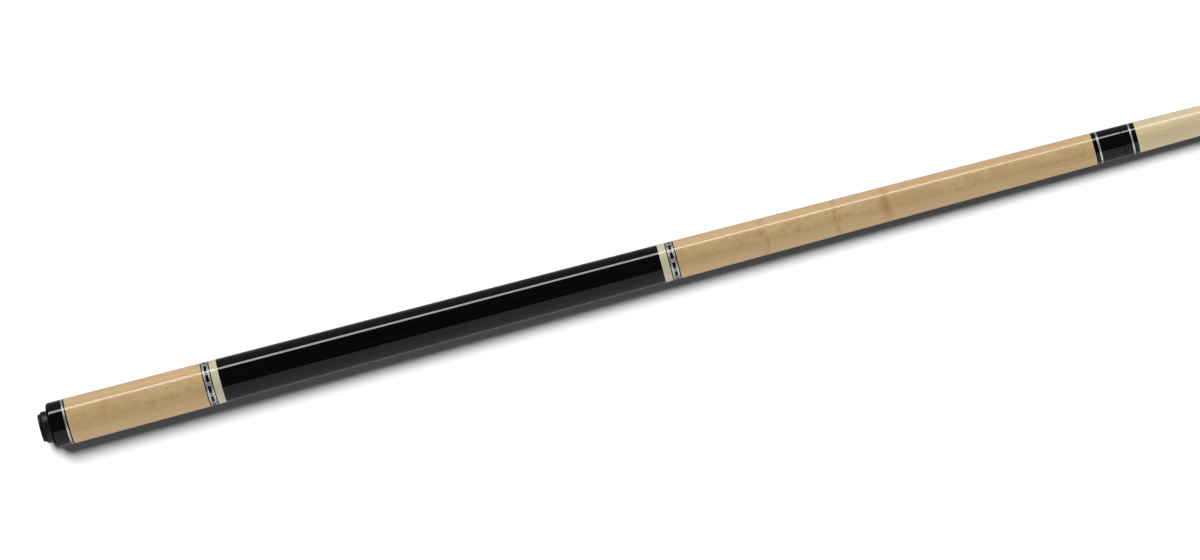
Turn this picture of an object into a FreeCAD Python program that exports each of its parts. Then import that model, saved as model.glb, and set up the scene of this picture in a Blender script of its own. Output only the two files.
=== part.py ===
"""Two-piece pool cue: a lacquered butt and a maple shaft held together by a screw joint.

Millimetres. The cue lies along +X with +Z up. The origin is the centre of the bumper's end face,
the joint face is BUTT_LENGTH away, and the tip points along +X.
"""
import FreeCAD, Part
import math
import os

# ---- lengths along the butt, from the bumper to the joint -------------------------------------
BUTT_LENGTH = 736.6            # 29 inches, bumper end face to joint face
BUMPER_PROUD = 6.8             # how far the rubber stands out of the cap
CAP_LENGTH = 10.6
HAIRLINE = 0.36                # one silver hairline ring
HAIRLINE_GAP = 0.30            # black ring between the two hairlines of a pair
CAP_TRIM_LENGTH = 1.1          # black trim ring between the hairlines and the sleeve
SLEEVE_LENGTH = 92.6
BAND_LENGTH = 2.2              # black band that carries the silver bars
BAND_EDGE_LENGTH = 0.85        # plain black ring at each end of a decorative ring
IVORY_LENGTH = 5.0
HANDLE_LENGTH = 299.6
JOINT_TRIM_LENGTH = 3.0        # black ring between the forearm and the joint hairlines
JOINT_COLLAR_LENGTH = 15.5

# ---- diameters of the lacquered outside, straight tapers between them -------------------------
CAP_DIAMETER = 30.4            # at the cap's end face
HANDLE_REAR_DIAMETER = 29.2
HANDLE_FRONT_DIAMETER = 25.5
JOINT_DIAMETER = 20.9
CAP_CORNER_RADIUS = 2.0
JOINT_EDGE = 0.25              # chamfer on the edge of both joint faces

# ---- silver bars in the decorative bands ------------------------------------------------------
BAR_PAIRS = 12
BAR_PAIR_ANGLE = 6.2           # degrees between the two bars of a pair
BAR_WIDTH = 0.95
BAR_DEPTH = 0.8

# ---- tenons and bores that hold the butt together ---------------------------------------------
REAR_TENON_RADIUS = 9.0        # of the handle, under the sleeve and the cap
CAP_WALL = 3.0                 # end wall of the cap behind that tenon
FOREARM_TENON_RADIUS = 8.0
FOREARM_TENON_IN_HANDLE = 38.0
HANDLE_SCREW_RADIUS = 3.97
HANDLE_SCREW_LENGTH = 60.0
SCREW_END_ROOM = 0.5           # air left at the blind end of a bore
FRONT_TENON_RADIUS = 7.5       # of the forearm, under the joint rings and collar
END_BORE_RADIUS = 6.0          # for the brass insert and the weight bolt
WEIGHT_BOLT_LENGTH = 50.0
HEX_KEY_SIZE = 6.0
HEX_KEY_DEPTH = 6.0
END_BORE_ROOM = 3.0            # air beyond the weight bolt

# ---- rubber bumper and the stud moulded into it -----------------------------------------------
BUMPER_DIAMETER = 21.3
BUMPER_SEAT_DIAMETER = 20.8    # where it meets the cap
BUMPER_LIP_DIAMETER = 18.4
BUMPER_LIP_LENGTH = 1.2
BUMPER_SLOPE_LENGTH = 1.6
BUMPER_EDGE_RADIUS = 0.5
PLATE_RADIUS = 8.0
PLATE_THICKNESS = 1.2
STUD_FLANGE_RADIUS = 5.5
STUD_FLANGE_THICKNESS = 1.5
STUD_LENGTH = 13.0             # out of the bumper's seat
STUD_PITCH = 1.25
STUD_CREST_RADIUS = 3.95
STUD_ROOT_RADIUS = 3.3
STUD_CHAMFER = 0.5
STUD_PLAIN = 0.8               # unthreaded stretch at each end of the stud
STUD_END_ROOM = 4.0            # insert left beyond the stud's end

# ---- joint pin and the insert that screws onto it ---------------------------------------------
PIN_PITCH = 25.4 / 14
PIN_THREAD_LEAD = 0.8          # thread that runs back into the pin's bore
PIN_CREST_RADIUS = 3.85
PIN_ROOT_RADIUS = 2.7
PIN_GUIDE_RADIUS = 3.0
PIN_PROUD = 19.4               # out of the joint face
PIN_THREADED_PROUD = 9.7       # threaded part of that
PIN_DOME = 1.9                 # length of the rounded end
PIN_STEP = 0.35                # chamfer where the guide starts
PIN_PLAIN = 0.5                # unthreaded stretch before that chamfer
PIN_SHANK_RADIUS = 3.97
PIN_SHANK_LENGTH = 36.0        # glued into the forearm
PIN_RELIEF = 2.0               # wider mouth of the pin's bore, where the thread runs out
GLUE_GROOVE_WIDTH = 2.0
GLUE_GROOVE_DEPTH = 0.5
GLUE_GROOVES = 3
INSERT_RADIUS = 5.5
INSERT_END_WALL = 1.6
PIN_END_ROOM = 1.0             # air beyond the pin's end in the insert

# ---- shaft ------------------------------------------------------------------------------------
SHAFT_LENGTH = 736.6           # 29 inches, joint face to the crown of the tip
SHAFT_COLLAR_LENGTH = 5.6
SHAFT_TRIM_LENGTH = 3.1
SHAFT_TENON_RADIUS = 7.0
SHAFT_TAPER = 0.0275           # loss of diameter for each millimetre from the joint
TIP_END_DIAMETER = 12.75       # of the parallel stretch behind the ferrule
TAPER_EASE = 120.0             # length of the curve each side of where the taper meets it
FERRULE_LENGTH = 25.4
FERRULE_TENON_RADIUS = 4.0
FERRULE_CAP = 5.0              # closed end of the ferrule
PAD_THICKNESS = 0.9
TIP_LENGTH = 6.6
TIP_SIDE = 4.2                 # straight side of the tip, under its crown
TIP_SWELL = 0.15               # how far the side bulges past the ferrule

# ---- clearances -------------------------------------------------------------------------------
TURNING_FIT = 0.05             # radial, between pieces that turn on each other
THREAD_ROOM = 0.10             # all round a thread in its insert
THREAD_END_ROOM = 0.1          # turns that an insert's groove runs on past the thread
THREAD_SUNK = 0.2              # how deep a thread's foot is sunk in its core
HOLE_ROOM = 0.5                # radial, where a thread passes through a plain hole

# A thread's foot and top are its widths along the axis at its root and at its crest.
STUD_THREAD = {"start": BUMPER_PROUD + STUD_PLAIN, "length": STUD_LENGTH - 2 * STUD_PLAIN - STUD_CHAMFER,
               "pitch": STUD_PITCH, "root": STUD_ROOT_RADIUS, "crest": STUD_CREST_RADIUS,
               "foot": 0.75, "top": 0.20}
PIN_THREAD = {"start": BUTT_LENGTH - PIN_THREAD_LEAD,
              "length": PIN_THREAD_LEAD + PIN_THREADED_PROUD - PIN_STEP - PIN_PLAIN,
              "pitch": PIN_PITCH, "root": PIN_ROOT_RADIUS, "crest": PIN_CREST_RADIUS,
              "foot": 0.95, "top": 0.25}

AXIS = FreeCAD.Vector(1, 0, 0)
CENTRE = FreeCAD.Vector(0, 0, 0)


def lay_out(start, lengths):
    """Stations of pieces that follow each other: the start, then the end of each length."""
    stations = [start]
    for length in lengths:
        stations.append(stations[-1] + length)
    return stations


# Stations along X. A decorative ring is edge, hairline pair, band, hairline pair, edge.
PAIR = [HAIRLINE, HAIRLINE_GAP, HAIRLINE]
RING = [BAND_EDGE_LENGTH] + PAIR + [BAND_LENGTH] + PAIR + [BAND_EDGE_LENGTH]
CAP_END = BUMPER_PROUD
CAP_PAIR = lay_out(CAP_END + CAP_LENGTH, PAIR + [CAP_TRIM_LENGTH])
SLEEVE_START = CAP_PAIR[-1]
BUTT_RING = lay_out(SLEEVE_START + SLEEVE_LENGTH, RING)
HANDLE_START = BUTT_RING[-1] + IVORY_LENGTH
HANDLE_END = HANDLE_START + HANDLE_LENGTH
FOREARM_RING = lay_out(HANDLE_END + IVORY_LENGTH, RING)
FOREARM_START = FOREARM_RING[-1]
COLLAR_START = BUTT_LENGTH - JOINT_COLLAR_LENGTH
JOINT_PAIR = lay_out(COLLAR_START - sum(PAIR) - JOINT_TRIM_LENGTH, [JOINT_TRIM_LENGTH] + PAIR)
FOREARM_END = JOINT_PAIR[0]
TENON_END = CAP_END + CAP_WALL
BOLT_START = CAP_END + STUD_LENGTH + STUD_END_ROOM
HANDLE_SOCKET_END = HANDLE_END - FOREARM_TENON_IN_HANDLE - SCREW_END_ROOM
SHAFT_PAIR = lay_out(BUTT_LENGTH + SHAFT_COLLAR_LENGTH, PAIR + [SHAFT_TRIM_LENGTH])
SHAFT_WOOD_START = SHAFT_PAIR[-1]
SHAFT_END = BUTT_LENGTH + SHAFT_LENGTH
TIP_START = SHAFT_END - TIP_LENGTH
PAD_START = TIP_START - PAD_THICKNESS
FERRULE_START = PAD_START - FERRULE_LENGTH
PIN_END = BUTT_LENGTH + PIN_PROUD
INSERT_BOTTOM = PIN_END + PIN_END_ROOM
INSERT_END = INSERT_BOTTOM + INSERT_END_WALL


def butt_radius(x):
    """Outside radius of the butt at station x."""
    tapers = [(CAP_END, CAP_DIAMETER), (HANDLE_START, HANDLE_REAR_DIAMETER),
              (HANDLE_END, HANDLE_FRONT_DIAMETER), (BUTT_LENGTH, JOINT_DIAMETER)]
    for (x0, d0), (x1, d1) in zip(tapers, tapers[1:]):
        if x <= x1 + 1e-9:
            return (d0 + (d1 - d0) * (x - x0) / (x1 - x0)) / 2
    return JOINT_DIAMETER / 2


def shaft_radius(x):
    """Outside radius of the shaft's straight taper at station x."""
    return (JOINT_DIAMETER - SHAFT_TAPER * (x - BUTT_LENGTH)) / 2


class Outline:
    """Closed outline in the half-plane above the cue's axis, turned into a solid."""

    def __init__(self, x, r):
        self.first = FreeCAD.Vector(x, 0, r)
        self.last = self.first
        self.edges = []

    def line(self, x, r):
        """Straight stretch to station x and radius r."""
        end = FreeCAD.Vector(x, 0, r)
        self.edges.append(Part.LineSegment(self.last, end).toShape())
        self.last = end
        return self

    def arc(self, mid, end):
        """Round stretch through mid to end."""
        mid = FreeCAD.Vector(mid[0], 0, mid[1])
        end = FreeCAD.Vector(end[0], 0, end[1])
        self.edges.append(Part.Arc(self.last, mid, end).toShape())
        self.last = end
        return self

    def solid(self):
        """Close the outline and turn it once round the axis."""
        self.line(self.first.x, self.first.z)
        return Part.Face(Part.Wire(self.edges)).revolve(CENTRE, AXIS, 360)


def tube(x0, x1, r0, r1, bore):
    """Ring or tube with a tapered outside and a straight bore."""
    return Outline(x0, bore).line(x0, r0).line(x1, r1).line(x1, bore).solid()


def rod(x0, x1, r):
    """Plain round rod."""
    return Outline(x0, 0).line(x0, r).line(x1, r).line(x1, 0).solid()


def butt_ring(x0, x1, bore):
    """Piece of the butt's outside that is glued over a tenon."""
    return tube(x0, x1, butt_radius(x0), butt_radius(x1), bore)


def shaft_ring(x0, x1, bore):
    """Piece of the shaft's outside that is glued over its tenon."""
    return tube(x0, x1, shaft_radius(x0), shaft_radius(x1), bore)


def thread(spec, room=0.0):
    """Right-hand helical ridge about the axis. Room grows it on every side, to cut an insert."""
    foot = spec["foot"] / 2 + room
    top = spec["top"] / 2 + room
    inner = spec["root"] - THREAD_SUNK
    outer = spec["crest"] + room
    steepness = (foot - top) / (spec["crest"] - spec["root"])
    sunk_foot = foot + steepness * THREAD_SUNK
    corners = [(inner, -sunk_foot), (outer, -top), (outer, top), (inner, sunk_foot)]
    points = [FreeCAD.Vector(r, 0, z) for r, z in corners]
    profile = Part.makePolygon(points + points[:1])
    length = spec["length"]
    if room:
        length += THREAD_END_ROOM * spec["pitch"]
    helix = Part.makeHelix(spec["pitch"], length, spec["root"])
    ridge = Part.Wire(helix.Edges).makePipeShell([profile], True, True)
    ridge.rotate(CENTRE, FreeCAD.Vector(0, 1, 0), 90)
    ridge.translate(AXIS * spec["start"])
    return ridge


def tapped_rod(x0, x1, r, spec, bottom, bore):
    """Rod from x0 to x1 with a thread's groove in it and then a bore down to bottom."""
    return rod(x0, x1, r).cut(thread(spec, THREAD_ROOM)).cut(rod(x0, bottom, bore))


def make_bumper():
    """Rubber body, with the pocket for the plate and the stud's flange."""
    lip = BUMPER_LIP_DIAMETER / 2
    widest = BUMPER_DIAMETER / 2
    slope_end = BUMPER_LIP_LENGTH + BUMPER_SLOPE_LENGTH
    edge = BUMPER_EDGE_RADIUS
    bend = edge * (1 - math.sqrt(0.5))
    plate = BUMPER_PROUD - PLATE_THICKNESS
    flange = plate - STUD_FLANGE_THICKNESS
    outline = Outline(0, 0).line(0, lip - edge).arc((bend, lip - bend), (edge, lip))
    outline.line(BUMPER_LIP_LENGTH, lip).line(slope_end, widest)
    outline.line(BUMPER_PROUD, BUMPER_SEAT_DIAMETER / 2)
    outline.line(BUMPER_PROUD, PLATE_RADIUS + TURNING_FIT).line(plate, PLATE_RADIUS + TURNING_FIT)
    outline.line(plate, STUD_FLANGE_RADIUS).line(flange, STUD_FLANGE_RADIUS).line(flange, 0)
    return outline.solid()


def make_bumper_plate():
    """Steel disc bonded to the rubber where it seats on the cap."""
    x0 = BUMPER_PROUD - PLATE_THICKNESS
    return tube(x0, BUMPER_PROUD, PLATE_RADIUS, PLATE_RADIUS, STUD_ROOT_RADIUS + TURNING_FIT)


def make_bumper_stud():
    """Flanged screw moulded into the rubber."""
    flange = BUMPER_PROUD - PLATE_THICKNESS
    end = BUMPER_PROUD + STUD_LENGTH
    root = STUD_ROOT_RADIUS
    outline = Outline(flange - STUD_FLANGE_THICKNESS, 0)
    outline.line(flange - STUD_FLANGE_THICKNESS, STUD_FLANGE_RADIUS).line(flange, STUD_FLANGE_RADIUS)
    outline.line(flange, root).line(end - STUD_CHAMFER, root)
    outline.line(end, root - STUD_CHAMFER).line(end, 0)
    return outline.solid().fuse(thread(STUD_THREAD))


def make_end_insert():
    """Brass insert in the handle's rear tenon that the stud screws into."""
    bore = STUD_ROOT_RADIUS + THREAD_ROOM
    return tapped_rod(TENON_END, BOLT_START, END_BORE_RADIUS, STUD_THREAD, BOLT_START, bore)


def make_weight_bolt():
    """Steel bolt that sets the cue's weight and balance, with a hexagon socket."""
    end = BOLT_START + WEIGHT_BOLT_LENGTH
    bolt = rod(BOLT_START, end, END_BORE_RADIUS)
    across_corners = HEX_KEY_SIZE / math.sqrt(3)
    corners = [FreeCAD.Vector(BOLT_START, across_corners * math.cos(a), across_corners * math.sin(a))
               for a in [math.radians(60 * i) for i in range(7)]]
    socket = Part.Face(Part.makePolygon(corners)).extrude(AXIS * HEX_KEY_DEPTH)
    return bolt.cut(socket)


def make_butt_cap():
    """Black end cap with a rounded corner and a hole for the stud."""
    front = CAP_END + CAP_LENGTH
    corner = CAP_CORNER_RADIUS
    rear = butt_radius(CAP_END + corner)
    bend = corner * (1 - math.sqrt(0.5))
    hole = STUD_CREST_RADIUS + HOLE_ROOM
    outline = Outline(CAP_END, hole).line(CAP_END, rear - corner)
    outline.arc((CAP_END + bend, rear - bend), (CAP_END + corner, rear))
    outline.line(front, butt_radius(front)).line(front, REAR_TENON_RADIUS)
    outline.line(TENON_END, REAR_TENON_RADIUS).line(TENON_END, hole)
    return outline.solid()


def make_bars(band, x0, x1):
    """Silver bars let into a band, in pairs all round it."""
    middle = (x0 + x1) / 2
    radius = butt_radius(middle)
    corner = FreeCAD.Vector(x0, -BAR_WIDTH / 2, radius - BAR_DEPTH)
    blank = Part.makeBox(x1 - x0, BAR_WIDTH, 2 * BAR_DEPTH, corner)
    first = band.common(blank)
    bars = []
    for pair in range(BAR_PAIRS):
        for side in (-1, 1):
            bar = first.copy()
            bar.rotate(CENTRE, AXIS, 360 / BAR_PAIRS * pair + side * BAR_PAIR_ANGLE / 2)
            bars.append(bar)
    return bars


def make_ring_group(prefix, stations, bore):
    """One decorative ring: black edges, two hairline pairs and the band with its bars."""
    spans = list(zip(stations, stations[1:]))
    silver = [butt_ring(a, b, bore) for a, b in (spans[1], spans[3], spans[5], spans[7])]
    black = [butt_ring(a, b, bore) for a, b in (spans[0], spans[2], spans[6], spans[8])]
    band = butt_ring(*spans[4], bore)
    bars = make_bars(band, *spans[4])
    return {prefix + "_ring_silver": silver, prefix + "_ring_black": black,
            prefix + "_ring_band": [band.cut(bars)], prefix + "_ring_bars": bars}


def make_handle():
    """Black handle, with its rear tenon and the socket for the forearm."""
    bore_end = BOLT_START + WEIGHT_BOLT_LENGTH + END_BORE_ROOM
    screw_end = HANDLE_SOCKET_END - HANDLE_SCREW_LENGTH / 2
    outline = Outline(TENON_END, END_BORE_RADIUS).line(TENON_END, REAR_TENON_RADIUS)
    outline.line(HANDLE_START, REAR_TENON_RADIUS).line(HANDLE_START, butt_radius(HANDLE_START))
    outline.line(HANDLE_END, butt_radius(HANDLE_END)).line(HANDLE_END, FOREARM_TENON_RADIUS)
    outline.line(HANDLE_SOCKET_END, FOREARM_TENON_RADIUS)
    outline.line(HANDLE_SOCKET_END, HANDLE_SCREW_RADIUS).line(screw_end, HANDLE_SCREW_RADIUS)
    outline.line(screw_end, 0).line(bore_end, 0).line(bore_end, END_BORE_RADIUS)
    return outline.solid()


def make_handle_screw():
    """Headless screw that pulls the forearm into the handle."""
    middle = HANDLE_SOCKET_END
    return rod(middle - HANDLE_SCREW_LENGTH / 2, middle + HANDLE_SCREW_LENGTH / 2, HANDLE_SCREW_RADIUS)


def make_forearm():
    """Maple forearm, with a tenon at each end and bores for the screw and the joint pin."""
    rear = HANDLE_END - FOREARM_TENON_IN_HANDLE
    screw_end = HANDLE_SOCKET_END + HANDLE_SCREW_LENGTH / 2 + SCREW_END_ROOM
    shank_end = BUTT_LENGTH - PIN_SHANK_LENGTH
    relief = PIN_CREST_RADIUS + HOLE_ROOM
    outline = Outline(rear, HANDLE_SCREW_RADIUS).line(rear, FOREARM_TENON_RADIUS)
    outline.line(FOREARM_START, FOREARM_TENON_RADIUS).line(FOREARM_START, butt_radius(FOREARM_START))
    outline.line(FOREARM_END, butt_radius(FOREARM_END)).line(FOREARM_END, FRONT_TENON_RADIUS)
    outline.line(BUTT_LENGTH, FRONT_TENON_RADIUS).line(BUTT_LENGTH, relief)
    outline.line(BUTT_LENGTH - PIN_RELIEF, relief).line(BUTT_LENGTH - PIN_RELIEF, PIN_SHANK_RADIUS)
    outline.line(shank_end, PIN_SHANK_RADIUS).line(shank_end, 0)
    outline.line(screw_end, 0).line(screw_end, HANDLE_SCREW_RADIUS)
    return outline.solid()


def make_joint_collar():
    """Black collar at the joint face of the butt."""
    outline = Outline(COLLAR_START, FRONT_TENON_RADIUS).line(COLLAR_START, butt_radius(COLLAR_START))
    outline.line(BUTT_LENGTH - JOINT_EDGE, butt_radius(BUTT_LENGTH - JOINT_EDGE))
    outline.line(BUTT_LENGTH, JOINT_DIAMETER / 2 - JOINT_EDGE).line(BUTT_LENGTH, FRONT_TENON_RADIUS)
    return outline.solid()


def make_joint_pin():
    """Steel pin: glued shank with grooves, coarse thread, plain guide and rounded end."""
    rear = BUTT_LENGTH - PIN_SHANK_LENGTH
    shank_front = BUTT_LENGTH - PIN_RELIEF
    guide = BUTT_LENGTH + PIN_THREADED_PROUD
    outline = Outline(rear, 0).line(rear, PIN_SHANK_RADIUS)
    spacing = (shank_front - rear) / (GLUE_GROOVES + 1)
    for i in range(GLUE_GROOVES):
        x = rear + spacing * (i + 1) - GLUE_GROOVE_WIDTH / 2
        outline.line(x, PIN_SHANK_RADIUS).line(x, PIN_SHANK_RADIUS - GLUE_GROOVE_DEPTH)
        x += GLUE_GROOVE_WIDTH
        outline.line(x, PIN_SHANK_RADIUS - GLUE_GROOVE_DEPTH).line(x, PIN_SHANK_RADIUS)
    outline.line(shank_front, PIN_SHANK_RADIUS).line(shank_front, PIN_ROOT_RADIUS)
    outline.line(guide - PIN_STEP, PIN_ROOT_RADIUS).line(guide, PIN_GUIDE_RADIUS)
    outline.line(PIN_END - PIN_DOME, PIN_GUIDE_RADIUS)
    dome_radius = (PIN_GUIDE_RADIUS ** 2 + PIN_DOME ** 2) / (2 * PIN_DOME)
    half = math.asin(PIN_GUIDE_RADIUS / dome_radius) / 2
    mid = (PIN_END - dome_radius * (1 - math.cos(half)), dome_radius * math.sin(half))
    outline.arc(mid, (PIN_END, 0))
    return outline.solid().fuse(thread(PIN_THREAD))


def make_shaft_insert():
    """Brass insert in the shaft with the thread that fits the pin."""
    bore = PIN_GUIDE_RADIUS + THREAD_ROOM
    return tapped_rod(BUTT_LENGTH, INSERT_END, INSERT_RADIUS, PIN_THREAD, INSERT_BOTTOM, bore)


def make_shaft_collar():
    """Black collar at the joint face of the shaft."""
    end = BUTT_LENGTH + SHAFT_COLLAR_LENGTH
    outline = Outline(BUTT_LENGTH, SHAFT_TENON_RADIUS)
    outline.line(BUTT_LENGTH, JOINT_DIAMETER / 2 - JOINT_EDGE)
    outline.line(BUTT_LENGTH + JOINT_EDGE, shaft_radius(BUTT_LENGTH + JOINT_EDGE))
    outline.line(end, shaft_radius(end)).line(end, SHAFT_TENON_RADIUS)
    return outline.solid()


def make_shaft():
    """Maple shaft: a long taper that eases into a parallel stretch behind the ferrule."""
    thin = TIP_END_DIAMETER / 2
    meet = BUTT_LENGTH + (JOINT_DIAMETER - TIP_END_DIAMETER) / SHAFT_TAPER
    slope = math.atan(SHAFT_TAPER / 2)
    ease_start = meet - TAPER_EASE * math.cos(slope)
    ease_radius = TAPER_EASE / math.tan(slope / 2)
    mid_x = meet + TAPER_EASE - ease_radius * math.sin(slope / 2)
    mid_r = thin + ease_radius * (1 - math.cos(slope / 2))
    tenon_end = PAD_START - FERRULE_CAP
    outline = Outline(BUTT_LENGTH, INSERT_RADIUS).line(BUTT_LENGTH, SHAFT_TENON_RADIUS)
    outline.line(SHAFT_WOOD_START, SHAFT_TENON_RADIUS)
    outline.line(SHAFT_WOOD_START, shaft_radius(SHAFT_WOOD_START))
    outline.line(ease_start, shaft_radius(ease_start)).arc((mid_x, mid_r), (meet + TAPER_EASE, thin))
    outline.line(FERRULE_START, thin).line(FERRULE_START, FERRULE_TENON_RADIUS)
    outline.line(tenon_end, FERRULE_TENON_RADIUS).line(tenon_end, 0)
    outline.line(INSERT_END, 0).line(INSERT_END, INSERT_RADIUS)
    return outline.solid()


def make_ferrule():
    """White ferrule, closed at the tip end."""
    thin = TIP_END_DIAMETER / 2
    tenon_end = PAD_START - FERRULE_CAP
    outline = Outline(FERRULE_START, FERRULE_TENON_RADIUS).line(FERRULE_START, thin)
    outline.line(PAD_START, thin).line(PAD_START, 0).line(tenon_end, 0)
    outline.line(tenon_end, FERRULE_TENON_RADIUS)
    return outline.solid()


def make_tip():
    """Layered leather tip with a domed crown."""
    thin = TIP_END_DIAMETER / 2
    shoulder = TIP_START + TIP_SIDE
    crown = TIP_LENGTH - TIP_SIDE
    crown_radius = (thin ** 2 + crown ** 2) / (2 * crown)
    half = math.asin(thin / crown_radius) / 2
    mid = (SHAFT_END - crown_radius * (1 - math.cos(half)), crown_radius * math.sin(half))
    outline = Outline(TIP_START, 0).line(TIP_START, thin)
    outline.arc(((TIP_START + shoulder) / 2, thin + TIP_SWELL), (shoulder, thin))
    return outline.arc(mid, (SHAFT_END, 0)).solid()


def make_nodes():
    """Every node of the cue and the solids in it."""
    rear = REAR_TENON_RADIUS
    front = FRONT_TENON_RADIUS
    shaft_core = SHAFT_TENON_RADIUS
    turning = SHAFT_TENON_RADIUS + TURNING_FIT
    nodes = {
        "bumper": [make_bumper()],
        "bumper_plate": [make_bumper_plate()],
        "bumper_stud": [make_bumper_stud()],
        "end_insert": [make_end_insert()],
        "weight_bolt": [make_weight_bolt()],
        "butt_cap": [make_butt_cap()],
        "cap_silver_rings": [butt_ring(CAP_PAIR[0], CAP_PAIR[1], rear),
                             butt_ring(CAP_PAIR[2], CAP_PAIR[3], rear)],
        "cap_black_rings": [butt_ring(CAP_PAIR[1], CAP_PAIR[2], rear),
                            butt_ring(CAP_PAIR[3], CAP_PAIR[4], rear)],
        "butt_sleeve": [butt_ring(SLEEVE_START, BUTT_RING[0], rear)],
        "butt_ivory_ring": [butt_ring(BUTT_RING[-1], HANDLE_START, rear)],
        "handle": [make_handle()],
        "handle_screw": [make_handle_screw()],
        "forearm_ivory_ring": [butt_ring(HANDLE_END, FOREARM_RING[0], FOREARM_TENON_RADIUS)],
        "forearm": [make_forearm()],
        "joint_black_rings": [butt_ring(JOINT_PAIR[0], JOINT_PAIR[1], front),
                              butt_ring(JOINT_PAIR[2], JOINT_PAIR[3], front)],
        "joint_silver_rings": [butt_ring(JOINT_PAIR[1], JOINT_PAIR[2], front),
                               butt_ring(JOINT_PAIR[3], JOINT_PAIR[4], front)],
        "joint_collar": [make_joint_collar()],
        "joint_pin": [make_joint_pin()],
        "shaft_collar": [make_shaft_collar()],
        "shaft_silver_rings": [shaft_ring(SHAFT_PAIR[0], SHAFT_PAIR[1], turning),
                               shaft_ring(SHAFT_PAIR[2], SHAFT_PAIR[3], turning)],
        "shaft_black_rings": [shaft_ring(SHAFT_PAIR[1], SHAFT_PAIR[2], shaft_core),
                              shaft_ring(SHAFT_PAIR[3], SHAFT_PAIR[4], shaft_core)],
        "shaft": [make_shaft()],
        "shaft_insert": [make_shaft_insert()],
        "ferrule": [make_ferrule()],
        "tip_pad": [rod(PAD_START, TIP_START, TIP_END_DIAMETER / 2)],
        "tip": [make_tip()],
    }
    nodes.update(make_ring_group("butt", BUTT_RING, rear))
    nodes.update(make_ring_group("forearm", FOREARM_RING, FOREARM_TENON_RADIUS))
    return nodes


def write_parts():
    """Write one STEP file for each node."""
    os.makedirs("parts", exist_ok=True)
    for name, solids in make_nodes().items():
        shape = solids[0] if len(solids) == 1 else Part.makeCompound(solids)
        shape.exportStep("parts/" + name + ".step")
        print(name, len(shape.Solids), "solids", round(shape.Volume, 1), "mm3", shape.isValid())


write_parts()
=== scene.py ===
import math

import bpy
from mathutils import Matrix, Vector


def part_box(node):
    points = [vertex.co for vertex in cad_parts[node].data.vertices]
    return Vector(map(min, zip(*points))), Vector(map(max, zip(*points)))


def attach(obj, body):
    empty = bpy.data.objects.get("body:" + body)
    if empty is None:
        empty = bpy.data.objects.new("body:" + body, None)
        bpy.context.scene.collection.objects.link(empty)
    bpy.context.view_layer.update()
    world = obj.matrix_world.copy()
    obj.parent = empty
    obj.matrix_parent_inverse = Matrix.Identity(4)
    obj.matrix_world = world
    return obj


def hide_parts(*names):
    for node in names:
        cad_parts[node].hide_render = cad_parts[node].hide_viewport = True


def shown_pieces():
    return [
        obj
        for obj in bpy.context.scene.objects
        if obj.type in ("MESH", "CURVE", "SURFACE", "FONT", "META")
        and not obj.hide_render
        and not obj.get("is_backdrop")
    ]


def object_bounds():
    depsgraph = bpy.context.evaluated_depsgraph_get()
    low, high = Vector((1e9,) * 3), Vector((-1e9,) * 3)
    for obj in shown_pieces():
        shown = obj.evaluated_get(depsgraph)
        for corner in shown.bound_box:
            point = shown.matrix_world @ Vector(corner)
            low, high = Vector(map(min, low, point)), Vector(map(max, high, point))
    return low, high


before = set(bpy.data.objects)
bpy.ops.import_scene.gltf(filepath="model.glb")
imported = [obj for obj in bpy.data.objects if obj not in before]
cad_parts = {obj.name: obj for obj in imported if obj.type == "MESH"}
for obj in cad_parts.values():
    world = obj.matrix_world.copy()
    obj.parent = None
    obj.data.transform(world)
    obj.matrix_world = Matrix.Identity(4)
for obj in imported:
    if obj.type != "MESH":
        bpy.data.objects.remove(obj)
cad_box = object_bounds()


# ---- Rubber bumper ----------------------------------------------------------------------------
# A soft black rubber foot, moulded round its stud's flange and a steel plate. It is turned in by
# hand against the butt cap, and has a satin skin that dulls a little where it touches the floor.

ROUND_STEPS = 192                      # flats round every turned piece, so that flush ones match
ARC_STEPS = 8
WELD = 1e-6                            # points nearer to each other than this are one
SEED_SIZE = 0.001                      # the small plane that is merged into an outline's first point
SMOOTH_ANGLE = math.radians(30)        # edges sharper than this stay sharp


def reach(node):
    """Start, end and outside radius of a round CAD node."""
    low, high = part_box(node)
    return low.x, high.x, high.z


def arc(centre_x, centre_r, radius, start, end, steps=ARC_STEPS):
    """Points of a round corner in an outline, with the angles in degrees from the cue's axis."""
    angles = [math.radians(start + (end - start) * i / steps) for i in range(steps + 1)]
    return [(centre_x + radius * math.cos(a), centre_r + radius * math.sin(a)) for a in angles]


def turn(name, outline):
    """Piece turned about the cue's axis from an outline of (x, radius) points."""
    bpy.ops.object.select_all(action="DESELECT")
    (x, r), rest = outline[0], outline[1:]
    bpy.ops.mesh.primitive_plane_add(size=SEED_SIZE, location=(x, 0, r), enter_editmode=True)
    bpy.ops.mesh.merge(type="CENTER")
    for next_x, next_r in rest:
        move = (next_x - x, 0, next_r - r)
        bpy.ops.mesh.extrude_region_move(TRANSFORM_OT_translate={"value": move})
        x, r = next_x, next_r
    bpy.ops.mesh.select_all(action="SELECT")
    bpy.ops.mesh.spin(steps=ROUND_STEPS, angle=math.tau, center=(0, 0, 0), axis=(1, 0, 0))
    bpy.ops.mesh.select_all(action="SELECT")
    bpy.ops.mesh.remove_doubles(threshold=WELD)
    bpy.ops.mesh.normals_make_consistent(inside=False)
    return finish_mesh(name)


def finish_mesh(name):
    """Leaves edit mode with the active piece named, placed in its mesh and shaded."""
    bpy.ops.object.mode_set(mode="OBJECT")
    piece = bpy.context.object
    piece.name = piece.data.name = name
    bpy.ops.object.transform_apply(location=True, rotation=True, scale=True)
    bpy.ops.object.shade_smooth_by_angle(angle=SMOOTH_ANGLE)
    return piece


def fit(piece, finish, slot, body, *replaced):
    """Gives a piece its finish and its place among the CAD bodies."""
    piece.data.materials.clear()
    piece.data.materials.append(finish)
    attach(piece, body)
    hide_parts(*replaced)


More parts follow.
